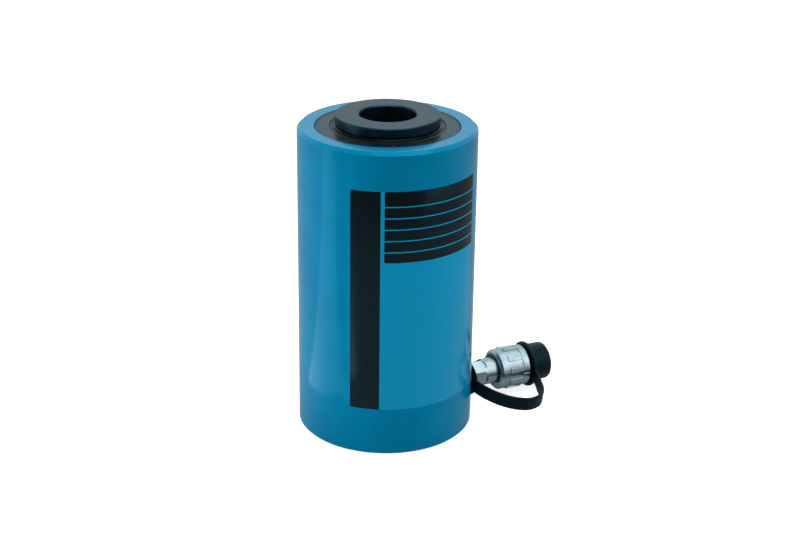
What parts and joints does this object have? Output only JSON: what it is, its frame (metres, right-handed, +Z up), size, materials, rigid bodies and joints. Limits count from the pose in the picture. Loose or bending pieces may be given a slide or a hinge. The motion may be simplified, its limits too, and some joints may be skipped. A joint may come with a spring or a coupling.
{
  "type": "hydraulic cylinder",
  "caption": "Single-acting hollow-plunger hydraulic cylinder with spring return, screwed-in stop ring, hollow saddle and quick coupler with a strapped dust cap.",
  "frame": {"origin": "centre of the through hole in the base face", "axes": "+Z up along the plunger, +X out along the oil port and coupler"},
  "size_m": [0.2496, 0.159, 0.2923],
  "materials": {
    "body_paint": "gloss blue enamel",
    "black_steel": "black oxide, oiled",
    "machined_steel": "turned",
    "chromed_steel": "hard chrome, ground",
    "spring_steel": "shot peened",
    "locking_red": "red locking compound",
    "zinc_plate": "bright zinc plate",
    "bronze": "bearing bronze",
    "polyurethane": "blue-grey sealing urethane",
    "nitrile": "black nitrile",
    "nylon": "natural nylon",
    "black_rubber": "moulded black rubber"
  },
  "bodies": {
    "cylinder": {"cylinder_barrel": "body_paint", "centre_tube": "machined_steel", "centre_tube_o_ring": "nitrile", "stop_ring": "black_steel", "stop_ring_set_screws": "locking_red", "stop_ring_bearing": "bronze", "plunger_wiper": "nitrile", "return_spring": "spring_steel", "coupler_nipple": "zinc_plate", "coupler_face_seal": "nitrile", "collar_snap_ring": "spring_steel", "check_spring": "spring_steel", "check_spring_retainer": "machined_steel", "dust_cap_strap": "black_rubber"},
    "plunger": {"plunger": "chromed_steel", "piston_seal": "polyurethane", "piston_backup_ring": "nylon", "piston_wear_ring": "nylon", "inner_seal": "polyurethane", "inner_backup_ring": "nylon", "inner_wear_ring": "nylon", "saddle": "black_steel"},
    "collar": {"coupler_collar": "zinc_plate"},
    "dust_cap": {"dust_cap": "black_rubber"},
    "check_ball": {"check_ball": "chromed_steel"}
  },
  "joints": [
    {"name": "plunger_stroke", "type": "slide", "parent": "cylinder", "child": "plunger", "axis": [0, 0, 1], "range_m": [0, 0.1], "stiffness_N_per_m": 5000, "springref_m": -0.1, "deforming": ["return_spring"]},
    {"name": "collar_spin", "type": "hinge", "parent": "cylinder", "child": "collar", "pos_m": [0.13, 0, 0.0225], "axis": [1, 0, 0], "continuous": true},
    {"name": "dust_cap_pull", "type": "slide", "parent": "cylinder", "child": "dust_cap", "axis": [1, 0, 0], "range_m": [0, 0.03], "deforming": ["dust_cap_strap"]},
    {"name": "check_ball_push", "type": "slide", "parent": "cylinder", "child": "check_ball", "axis": [-1, 0, 0], "range_m": [0, 0.004], "stiffness_N_per_m": 500, "springref_m": -0.004, "deforming": ["check_spring"]}
  ]
}
